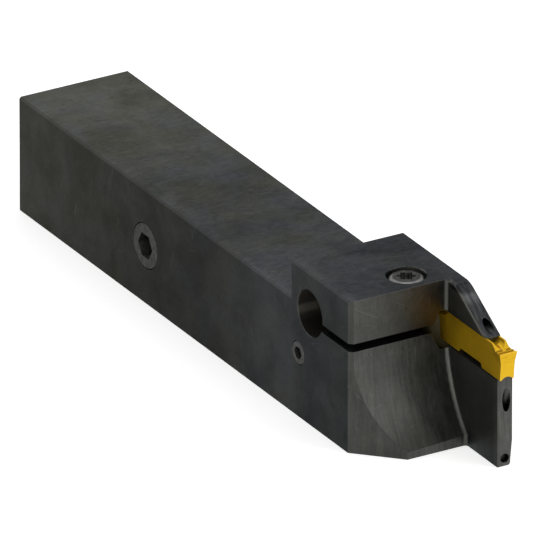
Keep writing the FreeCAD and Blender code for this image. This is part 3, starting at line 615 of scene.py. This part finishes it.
def blackened_ground_steel(settings):
    """Cloudy dark oxide over ground faces, with tool marks, scratches and lighter edges, and painted light, shade and
    sheen.
    """
    material, tree, steel = new_material("blackened_ground_steel")
    grain = surface_coordinates(tree)
    place = grain["Millimetres"]
    spot = split(tree, place)
    edges = use_group(tree, worn_edges(), {"Millimetres": place, "Width": settings.edge})
    scratches = use_group(tree, fine_scratches(), {"Marks": grain["Marks"], "Density": 0.8})["Mask"]
    holes, seat_shadow, long_scratches = (
        use_group(tree, group(), {"Millimetres": place})["Mask"]
        for group in (drilled_walls, seat_dirt, jaw_scratches)
    )
    parts = holder_parts(tree, grain, spot)
    jaw = parts["jaw"]
    texture = oxide_texture(tree, grain, settings.streak)

    tint = oxide_tint(tree, grain, spot, settings.cloud, parts["near rim"])
    colour = blend(tree, tint, settings.warm, settings.cool)
    # Clouds of the oxide with painted sheen, lighter in the painted sheen along the near rim
    level = changed(tree, texture["clouds_and_sheen"], product(tree, parts["near rim"], 0.13))
    level = maths(tree, "ADD", level, maths(tree, "ADD", texture["fine"], texture["broad"]))
    # Painted light and shade along the faces, on the sides and on the fronts
    level = product(tree, level, painted_face_light(tree, grain, spot))
    for change in painted_side_light(tree, grain, spot, parts["plate"]):
        level = changed(tree, level, change)
    for change in painted_front_light(tree, grain, spot, jaw, parts["low front"]):
        level = changed(tree, level, change)
    colour = blend(tree, 1.0, colour, grey(tree, level), "MULTIPLY")

    # Painted warm reflection of the insert on the jaw, bare steel in scratches and edges, painted contact shadow
    # along the insert, and the drilled walls with their painted shade and highlight
    insert_reflection = product(
        tree,
        jaw,
        between(tree, spot[1], 0.0, 4.5, 0.0, 0.9),
        maths(tree, "LESS_THAN", spot[1], 7.9),
        maths(tree, "GREATER_THAN", spot[0], JAW_FACE - 0.16),
    )
    colour = blend(tree, insert_reflection, colour, (1.0, 0.82, 0.68), "MULTIPLY")
    bare = maths(tree, "MAXIMUM", product(tree, edges["Mask"], 0.08), product(tree, scratches, 0.22))
    bare = maths(tree, "MAXIMUM", bare, product(tree, long_scratches, 0.30))
    colour = blend(tree, bare, colour, settings.bare)
    # Painted contact shadow on the sides along the insert's edges
    contact_shadow = product(tree, seat_shadow, maths(tree, "GREATER_THAN", grain["Side"], 0.5))
    colour = blend(tree, contact_shadow, colour, settings.contact_shadow)
    # Drilled walls in a darker tone as painted shade, with their painted highlight and painted reflection
    colour = blend(tree, holes, colour, wall_tone_and_painted_light(tree, spot, settings.drilled))
    tree.links.new(colour, steel.inputs["Base Color"])
    steel.inputs["Metallic"].default_value = 1.0
    steel.inputs["Specular Tint"].default_value = (0.30, 0.30, 0.30, 1.0)

    rough = maths(tree, "MULTIPLY_ADD", texture["smears"], 0.45, settings.roughness)
    rough = maths(tree, "MULTIPLY_ADD", texture["fine"], 0.25, rough)
    rough = maths(tree, "MULTIPLY_ADD", holes, 0.4, rough)
    tree.links.new(rough, steel.inputs["Roughness"])
    pits = product(tree, noise(tree, place, 7.0, 3.0), 0.35)
    height = maths(tree, "ADD", product(tree, texture["lines"], 0.6), pits)
    height = maths(tree, "SUBTRACT", height, product(tree, scratches, 0.5))
    add_relief(tree, steel, height, 0.28, edges["Normal"])
    return material


def coated_carbide(settings):
    """Gold-coloured coating with the fine grain of pressed carbide and lightly rubbed edges, painted light on its
    sides and painted shade in its grooves.
    """
    material, tree, coat = new_material("coated_carbide")
    grain = surface_coordinates(tree)
    place = grain["Millimetres"]
    spot = split(tree, place)
    edges = use_group(tree, worn_edges(), {"Millimetres": place, "Width": settings.edge})
    clouds = between(tree, noise(tree, place, 0.35, 5.0, 0.6, 0.5), 0.35, 0.68)
    pores = between(tree, noise(tree, place, 9.0, 3.0, 0.6), 0.30, 0.46, 0.55, 0.0)
    ground = noise(tree, scaled(tree, place, (0.4, 0.4, 6.0)), 1.0, 4.0)
    dark = maths(tree, "MAXIMUM", product(tree, clouds, 0.45), product(tree, pores, 0.6))
    colour = blend(tree, dark, settings.coat, settings.deep)

    # Painted light makes the sides lighter toward the rear, and painted shade darkens the grooves of the chip former
    on_side = maths(tree, "GREATER_THAN", grain["Side"], 0.7)
    rear = pick(tree, on_side, 1.0, between(tree, spot[0], 132.0, 148.0, 1.35, 0.94))
    colour = blend(tree, 1.0, colour, grey(tree, rear), "MULTIPLY")
    former = product(tree, between(tree, spot[2], 24.99, 24.86), grain["Upward"], 0.9)
    lines = noise(tree, scaled(tree, place, (0.3, 0.3, 4.5)), 1.0, 3.0)
    lines = product(tree, between(tree, lines, 0.52, 0.62, 0.0, 0.28), between(tree, spot[2], 21.5, 24.5))
    colour = blend(tree, maths(tree, "MAXIMUM", former, lines), colour, settings.groove_shade_and_line_tone)
    colour = blend(tree, product(tree, edges["Mask"], 0.65), colour, settings.rubbed)
    tree.links.new(colour, coat.inputs["Base Color"])
    coat.inputs["Metallic"].default_value = 0.78
    coat.inputs["Specular Tint"].default_value = (0.95, 0.75, 0.12, 1.0)
    rough = maths(tree, "MULTIPLY_ADD", ground, 0.12, settings.roughness - 0.06)
    rough = maths(tree, "MULTIPLY_ADD", pores, 0.20, rough)
    tree.links.new(rough, coat.inputs["Roughness"])
    height = maths(tree, "ADD", product(tree, noise(tree, place, 11.0, 3.0), 0.7), product(tree, ground, 0.3))
    add_relief(tree, coat, height, 0.15, edges["Normal"])
    return material


def turned_steel(piece, bright, dull, roughness, axis, rings_strength, socket_radius=0.0, painted_rim_light=False):
    """Lathe-turned steel: rings round a piece's axis, oily patches, lighter edges, painted light in the socket and,
    on the screw's head, a painted highlight round the rim with painted shade inside it.
    """
    material, tree, steel = new_material(f"{piece}_steel")
    low, high = (1000.0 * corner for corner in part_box(piece))
    grain = surface_coordinates(tree)
    place = grain["Millimetres"]
    edges = use_group(tree, worn_edges(), {"Millimetres": place, "Width": TURNED_EDGE})
    centre = tuple((low + high) / 2)
    moved = node(tree, "ShaderNodeVectorMath", {0: place, 1: centre}, operation="SUBTRACT").outputs[0]
    keep = tuple(0.0 if number == axis else 1.0 for number in range(3))
    flat = scaled(tree, moved, keep)
    reach = node(tree, "ShaderNodeVectorMath", {0: flat}, operation="LENGTH").outputs["Value"]
    rings = noise(tree, node(tree, "ShaderNodeCombineXYZ", {0: reach}).outputs[0], 7.0, 4.0, 0.7)
    patches = between(tree, noise(tree, place, 0.8, 5.0, 0.65, 0.6), 0.35, 0.65)
    mixed = maths(tree, "MULTIPLY_ADD", maths(tree, "SUBTRACT", rings, 0.5), rings_strength, patches)
    colour = blend(tree, between(tree, mixed, 0.1, 1.0, 0.0, 0.85), bright, dull)
    light = tuple(min(1.0, part * 1.5) for part in bright)
    colour = blend(tree, product(tree, edges["Mask"], 0.5), colour, light)
    if painted_rim_light:
        # Painted shade on the flat of the head and a painted highlight round its rim
        rim_highlight = between(tree, reach, 1.38 * socket_radius, 1.54 * socket_radius, 0.47, 1.50)
        colour = blend(tree, 1.0, colour, grey(tree, rim_highlight), "MULTIPLY")
    away = maths(tree, "ABSOLUTE", split(tree, moved)[axis])
    below_rim = maths(tree, "LESS_THAN", away, (high[axis] - low[axis]) / 2 - 0.08)
    in_socket = product(tree, below_rim, maths(tree, "LESS_THAN", reach, socket_radius))
    # Painted light: the socket is lightened to 1.8 times the steel's colour
    colour = blend(tree, in_socket, colour, tuple(1.8 * part for part in bright))
    tree.links.new(colour, steel.inputs["Base Color"])
    steel.inputs["Metallic"].default_value = 1.0
    steel.inputs["Specular Tint"].default_value = (0.45, 0.45, 0.45, 1.0)
    rough = maths(tree, "MULTIPLY_ADD", patches, 0.14, roughness - 0.05)
    tree.links.new(rough, steel.inputs["Roughness"])
    add_relief(tree, steel, rings, 0.2, edges["Normal"])
    return material


def dress_node(name, material):
    """Gives a CAD node its finish in every slot."""
    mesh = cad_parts[name].data
    if not mesh.materials:
        mesh.materials.append(material)
    for number in range(len(mesh.materials)):
        mesh.materials[number] = material


def seen_rays(tree):
    """1 where the camera sees a thing, also by reflection or through glass, and 0 for the light it gives."""
    rays = tree.nodes.new("ShaderNodeLightPath").outputs
    bent = maths(tree, "MAXIMUM", rays["Is Glossy Ray"], rays["Is Transmission Ray"])
    return maths(tree, "MAXIMUM", rays["Is Camera Ray"], bent)


def deselect():
    if bpy.context.object and bpy.context.object.mode != "OBJECT":
        bpy.ops.object.mode_set(mode="OBJECT")
    bpy.ops.object.select_all(action="DESELECT")


# Operators


class OBJECT_OT_holder_steel(bpy.types.Operator):
    """Gives the holder its blackened and ground steel"""

    bl_idname = "tool_holder.holder_steel"
    bl_label = "Holder Steel"
    bl_options = {"REGISTER", "UNDO"}

    def execute(self, context):
        dress_node("holder_body", blackened_ground_steel(context.scene.holder_steel))
        return {"FINISHED"}


class OBJECT_OT_insert_coat(bpy.types.Operator):
    """Gives the insert its gold-coloured coating"""

    bl_idname = "tool_holder.insert_coat"
    bl_label = "Insert Coating"
    bl_options = {"REGISTER", "UNDO"}

    def execute(self, context):
        dress_node("insert", coated_carbide(context.scene.insert_coat))
        return {"FINISHED"}


class OBJECT_OT_clamp_screw(bpy.types.Operator):
    """Gives the clamp screw its turned bright steel"""

    bl_idname = "tool_holder.clamp_screw"
    bl_label = "Clamp Screw"
    bl_options = {"REGISTER", "UNDO"}

    def execute(self, context):
        look = context.scene.bright_steel
        material = turned_steel(
            "clamp_screw",
            look.steel,
            look.dull,
            look.roughness,
            axis=2,
            rings_strength=0.6,
            socket_radius=SCREW_SOCKET,
            painted_rim_light=True,
        )
        dress_node("clamp_screw", material)
        return {"FINISHED"}


class OBJECT_OT_plugs(bpy.types.Operator):
    """Gives the three plugs of the coolant way their dark steel"""

    bl_idname = "tool_holder.plugs"
    bl_label = "Plugs"
    bl_options = {"REGISTER", "UNDO"}

    def execute(self, context):
        look = context.scene.plug_steel
        for name, axis, tint, socket_radius in PLUGS:
            steel, dull = (tuple(tint * part for part in shade) for shade in (look.steel, look.dull))
            material = turned_steel(
                name, steel, dull, look.roughness, axis, rings_strength=0.4, socket_radius=socket_radius
            )
            dress_node(name, material)
        return {"FINISHED"}


class OBJECT_OT_inlet_thread(bpy.types.Operator):
    """Adds the thread of the coolant inlet as a helical ridge along its wall"""

    bl_idname = "tool_holder.inlet_thread"
    bl_label = "Inlet Thread"
    bl_options = {"REGISTER", "UNDO"}

    def execute(self, context):
        look = context.scene.inlet_thread
        wall = INLET_RADIUS + INLET_SINK
        crest = INLET_RADIUS - look.depth
        deselect()
        bpy.ops.mesh.primitive_circle_add(vertices=4, radius=1.0, fill_type="NGON", location=(0.0, 0.0, 0.0))
        ridge = bpy.context.object
        ridge.name = "inlet_thread"
        bpy.ops.object.mode_set(mode="EDIT")
        bpy.ops.mesh.select_all(action="SELECT")
        bpy.ops.transform.rotate(value=math.radians(90.0), orient_axis="X", center_override=(0.0, 0.0, 0.0))
        bpy.ops.transform.resize(
            value=(RIDGE_HALF_WIDTH * look.pitch, 1.0, (wall - crest) / 2), center_override=(0.0, 0.0, 0.0)
        )
        bpy.ops.transform.translate(value=(INLET_START, 0.0, (wall + crest) / 2))
        bpy.ops.object.mode_set(mode="OBJECT")
        helix = ridge.modifiers.new("Thread", "SCREW")
        helix.axis = "X"
        helix.screw_offset = look.pitch
        helix.iterations = look.turns
        helix.steps = THREAD_STEPS
        helix.render_steps = THREAD_STEPS
        helix.use_normal_calculate = True
        bpy.ops.object.modifier_apply(modifier=helix.name)
        ridge.location = (0.0, 0.0, INLET_HEIGHT)
        bpy.ops.object.transform_apply(location=True, rotation=True, scale=True)
        bpy.ops.object.mode_set(mode="EDIT")
        bpy.ops.mesh.select_all(action="SELECT")
        bpy.ops.mesh.remove_doubles(threshold=0.000001)
        bpy.ops.mesh.fill_holes(sides=4)
        bpy.ops.mesh.normals_make_consistent(inside=False)
        bpy.ops.object.mode_set(mode="OBJECT")
        bpy.ops.object.shade_smooth_by_angle(angle=math.radians(35.0))
        ridge.data.materials.append(bpy.data.materials["blackened_ground_steel"])
        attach(ridge, "root")
        return {"FINISHED"}


class OBJECT_OT_studio(bpy.types.Operator):
    """Makes the pale floor, the soft lamps, the white surroundings and the camera"""

    bl_idname = "tool_holder.studio"
    bl_label = "Studio"
    bl_options = {"REGISTER", "UNDO"}

    def execute(self, context):
        studio = context.scene.studio
        self.make_floor(studio)
        self.make_lamps(context, studio)
        self.make_world(context.scene, studio)
        self.make_camera(context, studio)
        context.scene.view_settings.view_transform = "Standard"
        return {"FINISHED"}

    def make_floor(self, studio):
        deselect()
        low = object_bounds()[0]
        bpy.ops.mesh.primitive_plane_add(size=FLOOR_WIDTH, location=(0.08, 0.0, low.z - 0.00002))
        floor = bpy.context.object
        floor.name = "studio_floor"
        bpy.ops.object.transform_apply(location=True, rotation=False, scale=False)
        material, tree, shader = new_material("studio_floor")
        shader.inputs["Base Color"].default_value = (*studio.floor, 1.0)
        shader.inputs["Roughness"].default_value = 0.9
        shader.inputs["Specular IOR Level"].default_value = 0.1
        shader.inputs["Emission Color"].default_value = (1.0, 1.0, 1.0, 1.0)
        tree.links.new(product(tree, seen_rays(tree), FLOOR_LIGHT), shader.inputs["Emission Strength"])
        clear = tree.nodes.new("ShaderNodeBsdfTransparent")
        under = tree.nodes.new("ShaderNodeNewGeometry").outputs["Backfacing"]
        mix = node(tree, "ShaderNodeMixShader", {0: under, 1: shader.outputs[0], 2: clear.outputs[0]})
        surface = next(item for item in tree.nodes if item.type == "OUTPUT_MATERIAL")
        tree.links.new(mix.outputs[0], surface.inputs["Surface"])
        floor.data.materials.append(material)
        floor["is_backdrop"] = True

    def make_lamps(self, context, studio):
        # Name, the way to it from the point it lights, that point, its distance, width and power
        lamps = (
            ("key_lamp", (0.70, 0.70, 0.30), (0.09, 0.0, 0.015), 0.9, 0.60, studio.key),
            ("top_lamp", (0.05, 0.0, 1.0), (0.09, 0.0, 0.015), 0.9, 0.60, studio.top),
            ("back_lamp", (-0.785, 0.453, 0.423), (0.0, 0.0, 0.025), 0.3, 0.16, studio.back),
        )
        for name, place, aim, distance, size, power in lamps:
            data = bpy.data.lights.new(name, "AREA")
            data.shape = "SQUARE"
            data.size = size
            data.energy = power
            lamp = bpy.data.objects.new(name, data)
            way = Vector(place).normalized()
            lamp.location = Vector(aim) + way * distance
            lamp.rotation_euler = way.to_track_quat("Z", "Y").to_euler()
            context.scene.collection.objects.link(lamp)

    def make_world(self, scene, studio):
        world = bpy.data.worlds.new("white_surroundings")
        world.use_nodes = True
        tree = world.node_tree
        tree.nodes.clear()
        level = between(tree, seen_rays(tree), 0.0, 1.0, studio.ambient, 1.0)
        light = node(tree, "ShaderNodeBackground", {"Color": (1.0, 1.0, 1.0, 1.0), "Strength": level})
        surface = tree.nodes.new("ShaderNodeOutputWorld")
        tree.links.new(light.outputs[0], surface.inputs["Surface"])
        scene.world = world

    def make_camera(self, context, studio):
        data = bpy.data.cameras.new("camera")
        data.lens = studio.lens
        data.sensor_width = 36.0
        data.clip_start = 0.1
        data.clip_end = 20.0
        camera = bpy.data.objects.new("camera", data)
        turn, rise = studio.azimuth, studio.elevation
        way = Vector((math.sin(turn) * math.cos(rise), -math.cos(turn) * math.cos(rise), math.sin(rise)))
        camera.location = Vector(CAMERA_AIM) + way * studio.distance
        camera.rotation_euler = way.to_track_quat("Z", "Y").to_euler()
        context.scene.collection.objects.link(camera)
        context.scene.camera = camera


class VIEW3D_PT_tool_holder(bpy.types.Panel):
    """Lists the pieces of the tool holder and the studio"""

    bl_label = "Grooving Tool Holder"
    bl_idname = "VIEW3D_PT_tool_holder"
    bl_space_type = "VIEW_3D"
    bl_region_type = "UI"
    bl_category = "Tool Holder"

    def draw(self, context):
        for operator in OPERATORS:
            self.layout.operator(operator.bl_idname)


OPERATORS = (
    OBJECT_OT_holder_steel,
    OBJECT_OT_insert_coat,
    OBJECT_OT_clamp_screw,
    OBJECT_OT_plugs,
    OBJECT_OT_inlet_thread,
    OBJECT_OT_studio,
)

SETTINGS = {
    "holder_steel": HolderSteelSettings,
    "insert_coat": InsertSettings,
    "bright_steel": BrightSteelSettings,
    "plug_steel": PlugSettings,
    "inlet_thread": InletThreadSettings,
    "studio": StudioSettings,
}


def register():
    for kind in (*SETTINGS.values(), *OPERATORS, VIEW3D_PT_tool_holder):
        bpy.utils.register_class(kind)
    for name, kind in SETTINGS.items():
        setattr(bpy.types.Scene, name, bpy.props.PointerProperty(type=kind))


def unregister():
    for name in SETTINGS:
        delattr(bpy.types.Scene, name)
    for kind in reversed((*SETTINGS.values(), *OPERATORS, VIEW3D_PT_tool_holder)):
        bpy.utils.unregister_class(kind)


def main():
    register()
    bpy.ops.tool_holder.holder_steel()
    bpy.ops.tool_holder.insert_coat()
    bpy.ops.tool_holder.clamp_screw()
    bpy.ops.tool_holder.plugs()
    bpy.ops.tool_holder.inlet_thread()
    bpy.ops.tool_holder.studio()


if __name__ == "__main__":
    main()
